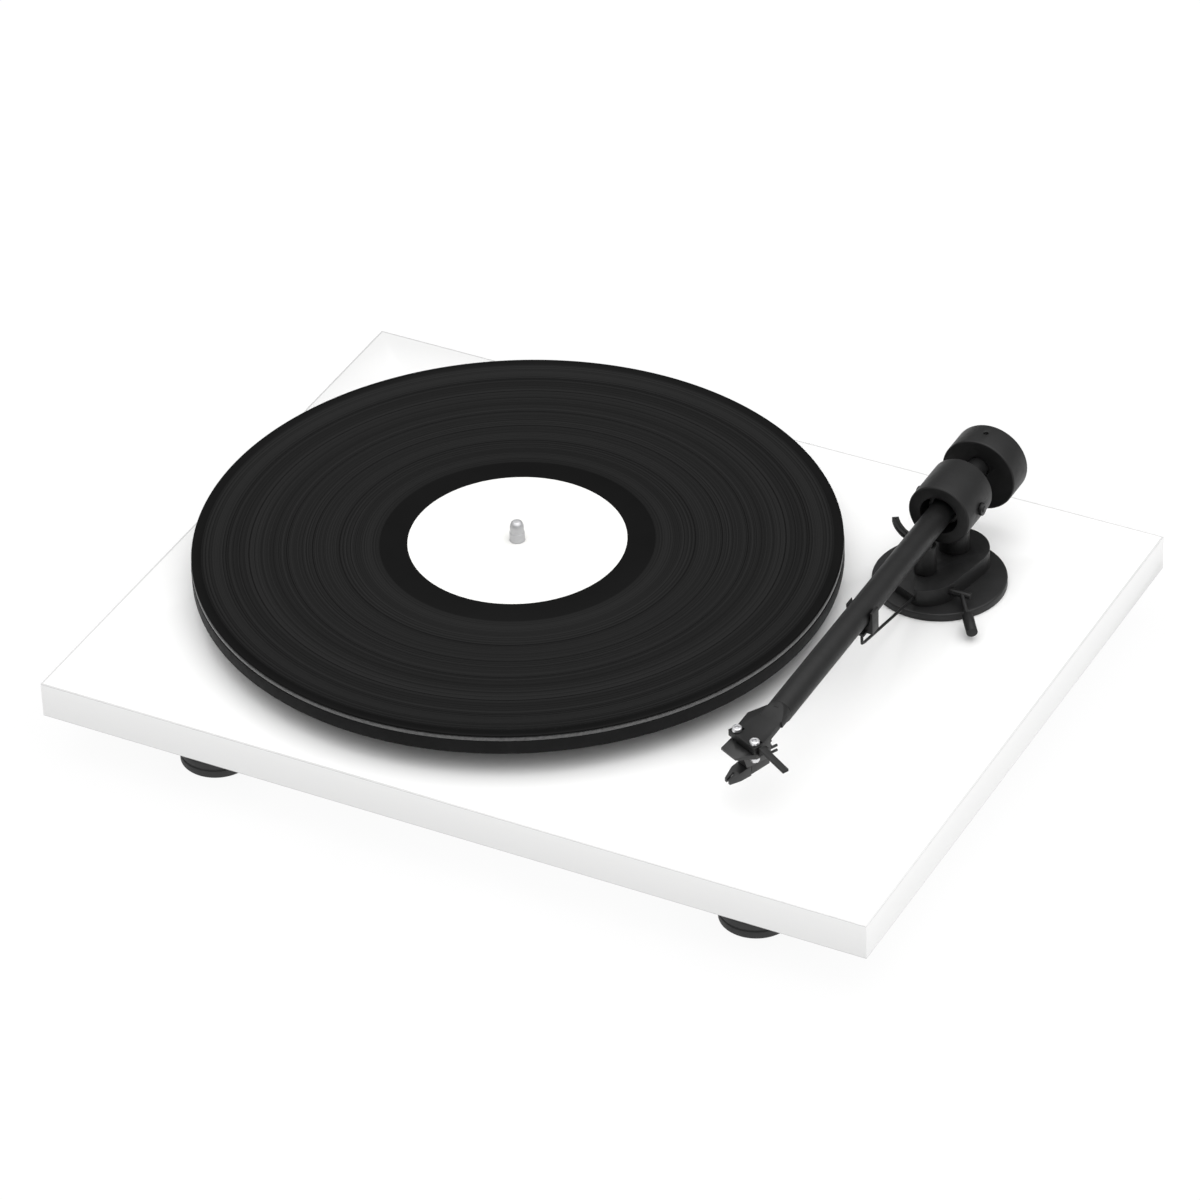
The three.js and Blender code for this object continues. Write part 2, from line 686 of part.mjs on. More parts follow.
// The bank is an arc about the swing axis, so that the tube rests on it at any place over the record.
function liftBank() {
  const { radius, width, base, thickness, from, to } = BANK;
  const [inner, outer] = [radius - width / 2, radius + width / 2];
  const arc = [
    ...arcPoints(YAW.x, YAW.y, outer, from, to, 14),
    ...arcPoints(YAW.x, YAW.y, inner, to, from, 14),
  ];
  const stem = rod(LIFT.rodRadius, LIFT.x, LIFT.y, DECK + 10, base + 1, 12);
  const angle = THREE.MathUtils.radToDeg(Math.atan2(LIFT.y - YAW.y, LIFT.x - YAW.x));
  const hub = slab(
    [
      ...arcPoints(YAW.x, YAW.y, radius, angle - 5, angle + 5, 2),
      ...arcPoints(YAW.x, YAW.y, inner - 3.2, angle + 4, angle - 4, 2),
    ],
    base,
    base + thickness - 0.8,
  );
  const groove = [
    ...arcPoints(YAW.x, YAW.y, radius + 0.3, from - 2, to + 2, 14),
    ...arcPoints(YAW.x, YAW.y, radius - 0.3, to + 2, from - 2, 14),
  ];
  const solid = cut(
    join(slab(arc, base, base + thickness), stem, hub),
    slab(groove, base + thickness - 0.5, base + thickness + 1),
  );
  return mesh("lift_bank", black, solid);
}

function along(from, to, radius, segments) {
  const [start, end] = [new THREE.Vector3(...from), new THREE.Vector3(...to)];
  const made = new THREE.CylinderGeometry(radius, radius, start.distanceTo(end), segments);
  const direction = end.clone().sub(start).normalize();
  const turn = new THREE.Quaternion().setFromUnitVectors(new THREE.Vector3(0, 1, 0), direction);
  const middle = start.add(end).multiplyScalar(0.5);
  return made.applyQuaternion(turn).translate(middle.x, middle.y, middle.z);
}

function knobRoot() {
  const tip = new THREE.Vector3(...KNOB.tip);
  const root = new THREE.Vector3(LEVER.rodX, LEVER.y, LEVER.z);
  return tip.clone().add(root.sub(tip).setLength(KNOB.length)).toArray();
}

function liftLever() {
  const shaft = rodAlongX(1.6, LEVER.y, LEVER.z, LIFT.x + 3, LEVER.end);
  const arm = along([LEVER.rodX, LEVER.y, LEVER.z], knobRoot(), 1.1, 12);
  return mesh("lift_lever", black, join(shaft, arm));
}

function leverKnob() {
  const root = new THREE.Vector3(...knobRoot());
  const tip = new THREE.Vector3(...KNOB.tip);
  const start = root.clone().add(tip.clone().sub(root).setLength(0.1));
  return mesh("lever_knob", black, along(start.toArray(), KNOB.tip, KNOB.radius, 18));
}

// ---------------------------------------------------------------- swinging bearing

function armHousing() {
  const { radius, bore, front, back } = HOUSING;
  const bevel = 0.6;
  const profile = [
    [bore, front],
    [radius - bevel, front],
    [radius, front + bevel],
    [radius, back - bevel],
    [radius - bevel, back],
    [bore, back],
    [bore, front],
  ];
  const cross = rodAlongX(1.6 + 0.1, PITCH_Y, ARM_Z, YAW.x - radius - 1, YAW.x + radius + 1);
  return mesh("arm_housing", black, cut(solidOf(turnedAlongY(profile, YAW.x, ARM_Z, 56)), cross));
}

// The upright shaft turns in the pillar, and its collar is hollowed to carry the housing.
function yawShaft() {
  const base = PILLAR.top + CLEAR;
  const collar = rod(PILLAR.radius, YAW.x, YAW.y, base, ARM_Z - 10, 40);
  const shaft = rod(PILLAR.bore - CLEAR, YAW.x, YAW.y, PLINTH_BASE - 5, base + 1);
  const saddle = rodAlongY(HOUSING.radius + 0.1, YAW.x, ARM_Z, HOUSING.front - 5, HOUSING.back + 5, 48);
  return mesh("yaw_shaft", black, cut(join(collar, shaft), saddle));
}

function pivotScrew(name, side) {
  const at = (distance) => YAW.x + side * distance;
  const span = (near, far) => [Math.min(at(near), at(far)), Math.max(at(near), at(far))];
  const screw = rodAlongX(1.6, PITCH_Y, ARM_Z, ...span(9.2, HOUSING.radius + 2), 14);
  const tip = rodAlongX(0.9, PITCH_Y, ARM_Z, ...span(7.3, 9.4), 8);
  const nut = rodAlongX(3.1, PITCH_Y, ARM_Z, ...span(HOUSING.radius + 0.1, HOUSING.radius + 1.5), 18);
  return mesh(name, black, join(screw, tip, nut));
}

// ---------------------------------------------------------------- tube and counterweight

function gimbalBlock() {
  const bore = TUBE.radius + 0.1;
  const profile = [
    [bore, PITCH_Y - 7.5],
    [7.8, PITCH_Y - 7.5],
    [7.8, PITCH_Y + 7.5],
    [0, PITCH_Y + 7.5],
    [0, TUBE.back + 0.2],
    [bore, TUBE.back + 0.2],
    [bore, PITCH_Y - 7.5],
  ];
  const cups = [-1, 1].map((side) => {
    const [near, far] = [YAW.x + side * 8.4, YAW.x + side * 7].sort((a, b) => a - b);
    return rodAlongX(1.9, PITCH_Y, ARM_Z, near, far, 12);
  });
  const hole = rodAlongY(STUB.radius - 1 + CLEAR, YAW.x, ARM_Z, TUBE.back, PITCH_Y + 9, 24);
  return mesh("gimbal_block", plastic, cut(solidOf(turnedAlongY(profile, YAW.x, ARM_Z, 24)), ...cups, hole));
}

function armTube() {
  const { radius, bore, front, back } = TUBE;
  const profile = [[bore, front], [radius, front], [radius, back], [bore, back], [bore, front]];
  return mesh("arm_tube", black, turnedAlongY(profile, YAW.x, ARM_Z, 40));
}

function stub() {
  const base = PITCH_Y + 7.7;
  const profile = [
    [0, TUBE.back + 0.5],
    [STUB.radius - 1, TUBE.back + 0.5],
    [STUB.radius - 1, base],
    [STUB.radius, base],
    [STUB.radius, STUB.back - 0.6],
    [STUB.radius - 0.6, STUB.back],
    [0, STUB.back],
  ];
  return mesh("counterweight_stub", black, turnedAlongY(profile, YAW.x, ARM_Z, 20));
}

function counterweight() {
  const { radius, front, back, drop } = WEIGHT;
  const bevel = 0.5;
  const profile = [
    [0, front],
    [radius - bevel, front],
    [radius, front + bevel],
    [radius, back - bevel],
    [radius - bevel, back],
    [0, back],
  ];
  const bore = rodAlongY(STUB.radius + CLEAR, YAW.x, ARM_Z, front - 1, back + 1, 20);
  const screwHole = rod(1.2, YAW.x, WEIGHT_SCREW_Y, ARM_Z, ARM_Z + radius, 12);
  const solid = solidOf(turnedAlongY(profile, YAW.x, ARM_Z - drop, 64));
  return mesh("counterweight", black, cut(solid, bore, screwHole));
}

function weightScrew() {
  const base = ARM_Z + STUB.radius + 0.3;
  const top = ARM_Z - WEIGHT.drop + WEIGHT.radius - 1.6;
  return mesh("counterweight_screw", steel, rod(0.95, YAW.x, WEIGHT_SCREW_Y, base, top, 10));
}

// ---------------------------------------------------------------- headshell and cartridge

// The plate's rear edges follow the tube and its front is square to the cartridge.
function headshell() {
  const { halfWidth, top, plate } = HEAD;
  const angle = THREE.MathUtils.degToRad(-HEAD.offset);
  const place = (right, back) => [
    HEAD.x + right * Math.cos(angle) - back * Math.sin(angle),
    HEAD.y + right * Math.sin(angle) + back * Math.cos(angle),
  ];
  const [tubeLeft, tubeRight] = [YAW.x - TUBE.radius, YAW.x + TUBE.radius];
  const leftFront = place(-halfWidth, 2.4);
  const outline = [
    place(-halfWidth, -2.5),
    place(halfWidth, -2.5),
    [tubeRight - 0.8, place(halfWidth, 2.4)[1]],
    [tubeRight - 0.8, TUBE.front - 3],
    [tubeRight, TUBE.front - 0.2],
    [tubeLeft, TUBE.front - 0.2],
    [leftFront[0], TUBE.front - 8.8],
    leftFront,
  ];
  const nose = cut(
    solidOf(rodAlongY(TUBE.radius, YAW.x, ARM_Z, TUBE.front - 9, TUBE.front - 0.2, 32)),
    sideSlab(
      [
        [TUBE.front - 0.2, ARM_Z + TUBE.radius],
        [TUBE.front - 9, top],
        [TUBE.front - 10, top],
        [TUBE.front - 10, top + 12],
        [TUBE.front, top + 12],
      ],
      tubeLeft - 1,
      tubeRight + 1,
    ),
    box(tubeLeft - 1, tubeRight + 1, TUBE.front - 10, TUBE.front + 1, ARM_Z - 10, top - plate),
  );
  const plug = rodAlongY(TUBE.bore - CLEAR, YAW.x, ARM_Z, TUBE.front - 3, TUBE.front + 8, 28);
  const half = SCREW.spacing / 2;
  const slots = [-half, half].map((x) => atHead(box(x - 1.4, x + 1.4, -1.6, 3.4, top - plate - 1, top + 1)));
  const solid = nose.add(solidOf(slab(outline, top - plate, top))).add(solidOf(plug));
  return mesh("headshell", black, cut(solid, ...slots));
}

// The finger lift is a thin strip clamped under the plate that steps up beside it and reaches outwards.
function fingerLift() {
  const { halfWidth, top, plate } = HEAD;
  const under = box(-8.4, halfWidth + 1.6, -0.8, 2.6, top - plate - 1.0, top - plate - 0.1);
  const web = box(halfWidth + 0.6, halfWidth + 1.6, -0.6, 2.5, top - plate - 0.9, top - 0.1);
  const bar = new THREE.Shape(
    [
      [halfWidth + 0.6, top - 1.5],
      [27.2, top - 4],
      [27.2, top - 2.7],
      [halfWidth + 0.6, top - 0.05],
    ].map(([x, z]) => new THREE.Vector2(x, z)),
  );
  const strip = new THREE.ExtrudeGeometry(bar, { depth: 3.1, bevelEnabled: false });
  strip.rotateX(Math.PI / 2).translate(0, 2.6, 0);
  const half = SCREW.spacing / 2;
  const [low, high] = [top - plate - 2, top - plate + 1];
  const holes = [-half, half].map((x) => rod(SCREW.radius + 0.15, x, 0, low, high, 10));
  const solid = cut(join(under, web, strip), ...holes);
  return mesh("finger_lift", black, atHead(geometryOf(solid)));
}

function cartridgeScrew(name, side) {
  const x = (side * SCREW.spacing) / 2;
  const seat = HEAD.top + 0.1;
  const head = turned(
    [
      [0, seat],
      [SCREW.headRadius, seat],
      [SCREW.headRadius, seat + SCREW.headHeight - 0.4],
      [SCREW.headRadius - 0.4, seat + SCREW.headHeight],
      [0, seat + SCREW.headHeight],
    ],
    x,
    0,
    16,
  );
  const shank = rod(SCREW.radius, x, 0, CARTRIDGE.flangeBase - 2.8, seat + 0.5, 10);
  const socket = slab(arcPoints(x, 0, 1.15, 0, 300, 5), seat + 0.8, seat + SCREW.headHeight + 1);
  return mesh(name, steel, atHead(geometryOf(cut(join(head, shank), socket))));
}

function cartridgeNut(name, side) {
  const x = (side * SCREW.spacing) / 2;
  const top = CARTRIDGE.flangeBase - 0.1;
  const hexagon = slab(arcPoints(x, 0, 2.3, 0, 300, 5), top - 1.9, top);
  const bore = rod(SCREW.radius + 0.12, x, 0, top - 3, top + 1, 10);
  return mesh(name, steel, atHead(geometryOf(cut(solidOf(hexagon), bore))));
}

// The cartridge has ears for the screws, a nose that narrows forwards and a slim body below.
function cartridge() {
  const { top, flangeBase, base, halfWidth } = CARTRIDGE;
  const ears = box(-halfWidth, halfWidth, -1, 6.5, flangeBase, top);
  const nosePlan = slab([[-halfWidth, -0.9], [-5.2, -9.9], [5.2, -9.9], [halfWidth, -0.9]], base, top);
  const noseSide = sideSlab([[-10, top - 1.1], [-10, top + 1], [0, top + 1], [0, flangeBase]], -20, 20);
  const nose = solidOf(nosePlan).intersect(solidOf(noseSide));
  const bodySide = [[-4.8, flangeBase + 1.2], [-2.4, base], [11, base], [11, top], [-4.8, top]];
  const body = sideSlab(bodySide, -3.7, 3.7);
  const half = SCREW.spacing / 2;
  const holes = [-half, half].map((x) => rod(SCREW.radius + 0.15, x, 0, flangeBase - 1, top + 1, 10));
  const pins = [-2.1, 2.1].flatMap((x) =>
    [base + 0.75, base + 3.4].map((z) => rodAlongY(0.65, x, z, 10.5, 15.6, 8)),
  );
  const solid = cut(join(ears, body, ...pins).add(nose), ...holes);
  return mesh("cartridge_body", black, atHead(geometryOf(solid)));
}

function stylus() {
  const { tipZ, back, holderFront, holderTop } = STYLUS;
  const holder = sideSlab(
    [
      [holderFront, tipZ + 2.2],
      [10.2, tipZ + 3.6],
      [10.2, holderTop],
      [holderFront, holderTop],
    ],
    -3.6,
    3.6,
  );
  const cantilever = along([0, 2, tipZ + 3.6], [0, -back - 0.4, tipZ + 0.9], 0.35, 8);
  const diamond = rod(0.28, 0, -back, tipZ, tipZ + 1.2, 8);
  return mesh("stylus", plastic, atHead(geometryOf(join(holder, cantilever, diamond))));
}

// The guard is a hollow nose with a forked tip that covers the cantilever from above and both sides.
function stylusGuard() {
  const { tipZ, holderTop } = STYLUS;
  const plan = (inset, front) => [
    [3.6 - inset, 0],
    [3.4 - inset, -5.5],
    [1.9 - inset / 2, front],
    [-1.9 + inset / 2, front],
    [-3.4 + inset, -5.5],
    [-3.6 + inset, 0],
  ];
  const sideOutline = [
    [0, tipZ + 1.5],
    [-10.7, tipZ + 0.3],
    [-10.7, tipZ + 2.2],
    [-6, tipZ + 5.2],
    [0, holderTop],
  ];
  const cavityOutline = [[1, tipZ - 2], [-12, tipZ - 2], [-12, tipZ + 1.4], [1, holderTop - 1.2]];
  const outerPlan = solidOf(slab(plan(0, -10.7), tipZ - 1, holderTop + 1));
  const innerPlan = solidOf(slab(plan(0.9, -8), tipZ - 2, holderTop + 1));
  const outside = outerPlan.intersect(solidOf(sideSlab(sideOutline, -6, 6)));
  const cavity = innerPlan.intersect(solidOf(sideSlab(cavityOutline, -6, 6)));
  const fork = box(-0.6, 0.6, -12, -7, tipZ - 2, holderTop + 1);
  return mesh("stylus_guard", black, atHead(geometryOf(cut(outside.subtract(cavity), fork))));
}

// ---------------------------------------------------------------- assembly

const turntable = new THREE.Group();
turntable.add(plinth(), ...feet());
turntable.add(bottomCover(), ...coverScrews(), motor(), motorMount(), pulley(), belt(), circuitBoard());
turntable.add(terminalBlock(), groundPost(), powerSocket(), switchHousing(), switchRocker());
turntable.add(phonoSocket("phono_socket_left", -22, steel), phonoSocket("phono_socket_right", -8, steel));
turntable.add(mainBearing(), thrustBall(), spindle(), subPlatter(), platter(), feltMat());
turntable.add(record(), recordLabel());
turntable.add(armDisc(), platform(), pillar(), pillarNut(), restWire(), restCradle());
turntable.add(liftPost(), liftBank(), liftLever(), leverKnob());
turntable.add(armHousing(), yawShaft());
turntable.add(pivotScrew("pivot_screw_left", -1), pivotScrew("pivot_screw_right", 1));
turntable.add(gimbalBlock(), armTube(), stub(), counterweight(), weightScrew());
turntable.add(headshell(), fingerLift(), cartridge(), stylus(), stylusGuard());
turntable.add(cartridgeScrew("cartridge_screw_left", -1), cartridgeScrew("cartridge_screw_right", 1));
turntable.add(cartridgeNut("cartridge_nut_left", -1), cartridgeNut("cartridge_nut_right", 1));

export default turntable;
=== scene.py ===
"""The looks of a belt-driven record player: its detailed pieces, materials, light and camera."""
import math

import bmesh
import bpy
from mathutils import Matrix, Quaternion, Vector


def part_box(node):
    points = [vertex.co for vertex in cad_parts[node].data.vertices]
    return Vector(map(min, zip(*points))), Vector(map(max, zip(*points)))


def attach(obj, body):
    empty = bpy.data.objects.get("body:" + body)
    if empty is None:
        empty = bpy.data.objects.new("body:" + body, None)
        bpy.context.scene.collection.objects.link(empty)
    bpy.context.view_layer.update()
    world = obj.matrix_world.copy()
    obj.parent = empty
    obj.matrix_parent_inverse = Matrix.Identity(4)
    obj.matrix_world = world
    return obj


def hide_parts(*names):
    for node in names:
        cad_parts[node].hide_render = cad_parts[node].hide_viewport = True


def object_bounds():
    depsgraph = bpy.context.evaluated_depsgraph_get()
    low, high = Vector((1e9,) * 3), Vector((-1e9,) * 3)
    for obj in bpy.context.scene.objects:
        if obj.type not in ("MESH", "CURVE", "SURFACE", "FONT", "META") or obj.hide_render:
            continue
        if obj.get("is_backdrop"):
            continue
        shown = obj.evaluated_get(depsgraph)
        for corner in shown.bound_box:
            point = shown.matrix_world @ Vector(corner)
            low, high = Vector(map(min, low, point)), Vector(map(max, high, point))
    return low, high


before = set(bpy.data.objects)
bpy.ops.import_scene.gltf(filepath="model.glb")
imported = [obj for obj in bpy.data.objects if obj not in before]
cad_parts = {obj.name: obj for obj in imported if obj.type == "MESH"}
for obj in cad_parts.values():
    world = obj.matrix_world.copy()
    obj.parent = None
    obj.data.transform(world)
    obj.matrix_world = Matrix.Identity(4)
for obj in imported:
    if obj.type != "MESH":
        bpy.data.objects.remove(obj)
CAD_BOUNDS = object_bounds()
MM = 0.001
WIDE_SIDES = 256  # sides of a circle as wide as the platter
FOOT_SIDES = 96
SPINDLE_SIDES = 64
SHARP = math.radians(35)  # carried-over CAD nodes have sharp edges above this angle


# ---------------------------------------------------------------- camera, floor and light

AIM = Vector((-0.00698, 0.00505, 0.043))
DISTANCE = 3.0536
AZIMUTH, ELEVATION, ROLL = (math.radians(a) for a in (28.541, 35.631, -2.067))
LENS_MM = 196.69
NEAREST, FURTHEST = 0.1, 150.0
FLOOR_REACH = 45.0
FLOOR_DEPTH = 0.02


def make_camera():
    side = Vector((math.sin(AZIMUTH), -math.cos(AZIMUTH), 0))
    back = side * math.cos(ELEVATION) + Vector((0, 0, math.sin(ELEVATION)))
    data = bpy.data.cameras.new("camera")
    data.lens = LENS_MM
    data.sensor_width = 36
    data.clip_start, data.clip_end = NEAREST, FURTHEST
    camera = bpy.data.objects.new("camera", data)
    camera.rotation_mode = "QUATERNION"
    camera.location = AIM + back * DISTANCE
    turn = (-back).to_track_quat("-Z", "Y")
    camera.rotation_quaternion = turn @ Quaternion((0, 0, 1), ROLL)
    bpy.context.scene.collection.objects.link(camera)
    bpy.context.scene.camera = camera


BASE_LIGHT = 0.1
SOFTBOXES = [  # direction towards the light, how tight it is, brightness
    ((0.12, -0.06, 1.0), 3, 3.15),
    ((0.15, -1.0, 0.3), 2, 0.1),
    ((1.0, 0.0, 0.3), 2, 0.68),
    ((-1.0, -0.1, 0.3), 2, 0.4),
]


def make_studio():
    """White floor, and a soft sky: one broad overhead glow and weaker ones from the sides."""
    scene = bpy.context.scene
    scene.view_settings.view_transform = "Standard"
    world = bpy.data.worlds.new("studio")
    world.use_nodes = True
    nodes, link = world.node_tree.nodes, world.node_tree.links.new
    total = None
    towards = nodes.new("ShaderNodeTexCoord").outputs["Generated"]
    for direction, tightness, brightness in SOFTBOXES:
        facing = nodes.new("ShaderNodeVectorMath")
        facing.operation = "DOT_PRODUCT"
        facing.inputs[1].default_value = Vector(direction).normalized()
        link(towards, facing.inputs[0])
        ahead = maths(nodes, link, "MAXIMUM", facing.outputs["Value"], 0)
        lobe = maths(nodes, link, "POWER", ahead, tightness)
        total = maths(nodes, link, "MULTIPLY_ADD", lobe, brightness, total or BASE_LIGHT)
    link(total, nodes["Background"].inputs["Strength"])
    nodes["Background"].inputs["Color"].default_value = (1, 1, 1, 1)
    scene.world = world
    make_floor()


def make_floor():
    """A slab whose top is the ground, wide enough to fill the view from any side."""
    bm = bmesh.new()
    bmesh.ops.create_cube(bm, size=1)
    bmesh.ops.scale(bm, vec=(2 * FLOOR_REACH, 2 * FLOOR_REACH, FLOOR_DEPTH), verts=bm.verts)
    bmesh.ops.translate(bm, vec=(0, 0, -FLOOR_DEPTH / 2), verts=bm.verts)
    floor = to_object("floor", bm)
    paint(floor, pale_floor())
    floor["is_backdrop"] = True


def maths(nodes, link, operation, *values):
    """A math node whose inputs are sockets or plain numbers."""
    node = nodes.new("ShaderNodeMath")
    node.operation = operation
    for socket, value in zip(node.inputs, values):
        if isinstance(value, (int, float)):
            socket.default_value = value
        else:
            link(value, socket)
    return node.outputs[0]


# ---------------------------------------------------------------- mesh helpers

SAME_PLACE = 1e-9
ON_AXIS = 1e-7
CORNER_STEPS = 4
LONGEST_CUT = 0.45  # of the shorter side beside a corner
WELD_GAP = 1e-6
FLAT_ANGLE = math.radians(0.6)
BEVEL_STEPS = 3


def to_object(name, bm, angle=32):
    """A mesh object with smooth faces, and sharp edges where faces meet at more than angle."""
    bmesh.ops.recalc_face_normals(bm, faces=bm.faces)
    for face in bm.faces:
        face.smooth = True
    for edge in bm.edges:
        edge.smooth = edge.calc_face_angle(0) < math.radians(angle)
    mesh = bpy.data.meshes.new(name)
    bm.to_mesh(mesh)
    bm.free()
    piece = bpy.data.objects.new(name, mesh)
    bpy.context.scene.collection.objects.link(piece)
    return piece


def rounded(profile, radius):
    """The profile with its inner corners rounded. Each corner is cut back by radius at most."""
    points = [Vector(p) for p in profile]
    closed = (points[0] - points[-1]).length < SAME_PLACE
    if closed:
        points = points[:-1]
    made = []
    for i, corner in enumerate(points):
        if not closed and i in (0, len(points) - 1):
            made.append(corner)
            continue
        before = points[i - 1] - corner
        after = points[(i + 1) % len(points)] - corner
        cut = min(radius, before.length * LONGEST_CUT, after.length * LONGEST_CUT)
        start = corner + before.normalized() * cut
        end = corner + after.normalized() * cut
        for step in range(CORNER_STEPS + 1):
            t = step / CORNER_STEPS
            made.append(start * (1 - t) ** 2 + corner * 2 * t * (1 - t) + end * t**2)
    if closed:
        made.append(made[0])
    return made


def turned(name, profile, centre, segments, angle=32):
    """A profile of (radius, height) turned about the upright axis through centre. It starts and
    ends on the axis, or closes on itself."""
    closed = (Vector(profile[0]) - Vector(profile[-1])).length < SAME_PLACE
    points = profile[:-1] if closed else profile
    x, y, z = centre
    bm = bmesh.new()
    rings = []
    for radius, height in points:
        if radius < ON_AXIS:
            rings.append([bm.verts.new((x, y, z + height))])
            continue
        ring = []
        for k in range(segments):
            a = 2 * math.pi * k / segments
            spot = (x + radius * math.cos(a), y + radius * math.sin(a), z + height)
            ring.append(bm.verts.new(spot))
        rings.append(ring)
    following = rings[1:] + rings[:1] if closed else rings[1:]
    for low, high in zip(rings, following):
        bridge(bm, low, high, segments)
    return to_object(name, bm, angle)


def bridge(bm, low, high, segments):
    """The faces between two rings. A ring of one vertex is a point on the axis."""
    for k in range(segments):
        n = (k + 1) % segments
        lower = [low[k % len(low)], low[n % len(low)]]
        upper = [high[n % len(high)], high[k % len(high)]]
        bm.faces.new(list(dict.fromkeys(lower + upper)))


def seat(node):
    """The middle of a CAD node's underside, its radius and its height."""
    low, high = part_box(node)
    under = Vector(((low.x + high.x) / 2, (low.y + high.y) / 2, low.z))
    return under, (high.x - low.x) / 2, high.z - low.z


def carry(node, material, bevel):
    """A CAD node shown with its own shape, its edges rounded by modifiers, in a material."""
    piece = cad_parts[node]
    weld = piece.modifiers.new("weld", "WELD")
    weld.merge_threshold = WELD_GAP
    flat = piece.modifiers.new("flat", "DECIMATE")
    flat.decimate_type = "DISSOLVE"
    flat.angle_limit = FLAT_ANGLE
    edge = piece.modifiers.new("edge", "BEVEL")
    edge.width = bevel
    edge.segments = BEVEL_STEPS
    edge.limit_method = "ANGLE"
    edge.angle_limit = SHARP
    edge.harden_normals = False
    smooth = piece.modifiers.new("smooth", "NODES")
    smooth.node_group = smooth_group()
    paint(piece, material)


def smooth_group():
    """A node group that shades faces smooth, with sharp edges above the angle SHARP."""
    name = "smooth_by_angle"
    if name in bpy.data.node_groups:
        return bpy.data.node_groups[name]
    group = bpy.data.node_groups.new(name, "GeometryNodeTree")
    group.interface.new_socket("Geometry", in_out="INPUT", socket_type="NodeSocketGeometry")
    group.interface.new_socket("Geometry", in_out="OUTPUT", socket_type="NodeSocketGeometry")
    nodes, link = group.nodes, group.links.new
    start, end = nodes.new("NodeGroupInput"), nodes.new("NodeGroupOutput")
    faces = nodes.new("GeometryNodeSetShadeSmooth")
    edges = nodes.new("GeometryNodeSetShadeSmooth")
    edges.domain = "EDGE"
    edges.inputs["Shade Smooth"].default_value = False
    between = nodes.new("GeometryNodeInputMeshEdgeAngle")
    above = nodes.new("FunctionNodeCompare")
    above.inputs["B"].default_value = SHARP
    link(start.outputs[0], faces.inputs["Geometry"])
    link(faces.outputs[0], edges.inputs["Geometry"])
    link(between.outputs["Unsigned Angle"], above.inputs["A"])
    link(above.outputs["Result"], edges.inputs["Selection"])
    link(edges.outputs[0], end.inputs[0])
    return group


def paint(piece, material):
    piece.data.materials.clear()
    piece.data.materials.append(material)


def stands_for(piece, node, body, material):
    """The piece rides on the body, replaces the CAD node and takes the material."""
    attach(piece, body)
    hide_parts(node)
    paint(piece, material)


# ---------------------------------------------------------------- materials


class Surface:
    """A material whose colour, roughness and bump vary with noise in the object's own space."""

    def __init__(self, name, colour, roughness, metallic=0.0, specular=0.5):
        self.material = bpy.data.materials.new(name)
        self.material.use_nodes = True
        self.nodes = self.material.node_tree.nodes
        self.link = self.material.node_tree.links.new
        self.shader = self.nodes["Principled BSDF"]
        self.shader.inputs["Base Color"].default_value = (*colour, 1)
        self.shader.inputs["Roughness"].default_value = roughness
        self.shader.inputs["Metallic"].default_value = metallic
        self.shader.inputs["Specular IOR Level"].default_value = specular
        self.place = self.nodes.new("ShaderNodeTexCoord").outputs["Object"]
        self.last_bump = None

    def noise(self, scale, detail=3.0, stretch=None):
        source = self.place
        if stretch:
            mapping = self.nodes.new("ShaderNodeMapping")
            mapping.inputs["Scale"].default_value = stretch
            self.link(source, mapping.inputs["Vector"])
            source = mapping.outputs[0]
        node = self.nodes.new("ShaderNodeTexNoise")
        node.inputs["Scale"].default_value = scale
        node.inputs["Detail"].default_value = detail
        self.link(source, node.inputs["Vector"])
        return node.outputs["Fac"]

    def spread(self, factor, low, high):
        """The middle of the noise's range spread over low to high."""
        node = self.nodes.new("ShaderNodeMapRange")
        node.inputs["From Min"].default_value = 0.3
        node.inputs["From Max"].default_value = 0.7
        node.inputs["To Min"].default_value = low
        node.inputs["To Max"].default_value = high
        self.link(factor, node.inputs["Value"])
        return node.outputs["Result"]

    def colours(self, factor, low, high, start=0.3, end=0.7):
        ramp = self.nodes.new("ShaderNodeValToRGB")
        first, last = ramp.color_ramp.elements
        first.position = start
        first.color = (*low, 1)
        last.position = end
        last.color = (*high, 1)
        self.link(factor, ramp.inputs["Fac"])
        self.link(ramp.outputs["Color"], self.shader.inputs["Base Color"])

    def roughness(self, factor, low, high):
        self.link(self.spread(factor, low, high), self.shader.inputs["Roughness"])

    def bump(self, factor, depth):
        node = self.nodes.new("ShaderNodeBump")
        node.inputs["Distance"].default_value = depth
        self.link(factor, node.inputs["Height"])
        if self.last_bump:
            self.link(self.last_bump, node.inputs["Normal"])
        self.last_bump = node.outputs["Normal"]
        self.link(self.last_bump, self.shader.inputs["Normal"])

    def maths(self, operation, *values):
        return maths(self.nodes, self.link, operation, *values)

    def vector(self, operation, source, other=None):
        """A vector math node of a socket and, where given, a constant vector."""
        node = self.nodes.new("ShaderNodeVectorMath")
        node.operation = operation
        self.link(source, node.inputs[0])
        if other:
            node.inputs[1].default_value = other
        return node

    def across(self, centre):
        """Distance from an upright axis through centre, in metres."""
        apart = self.vector("SUBTRACT", self.place, centre).outputs[0]
        level = self.vector("MULTIPLY", apart, (1, 1, 0)).outputs[0]
        return self.vector("LENGTH", level).outputs["Value"]

    def ring_noise(self, radius, scale, detail):
        """Noise that changes only with the distance from the axis."""
        node = self.nodes.new("ShaderNodeTexNoise")
        node.noise_dimensions = "1D"
        node.inputs["Scale"].default_value = scale
        node.inputs["Detail"].default_value = detail
        self.link(radius, node.inputs["W"])
        return node.outputs["Fac"]


def grey(value):
    return (value, value, value)


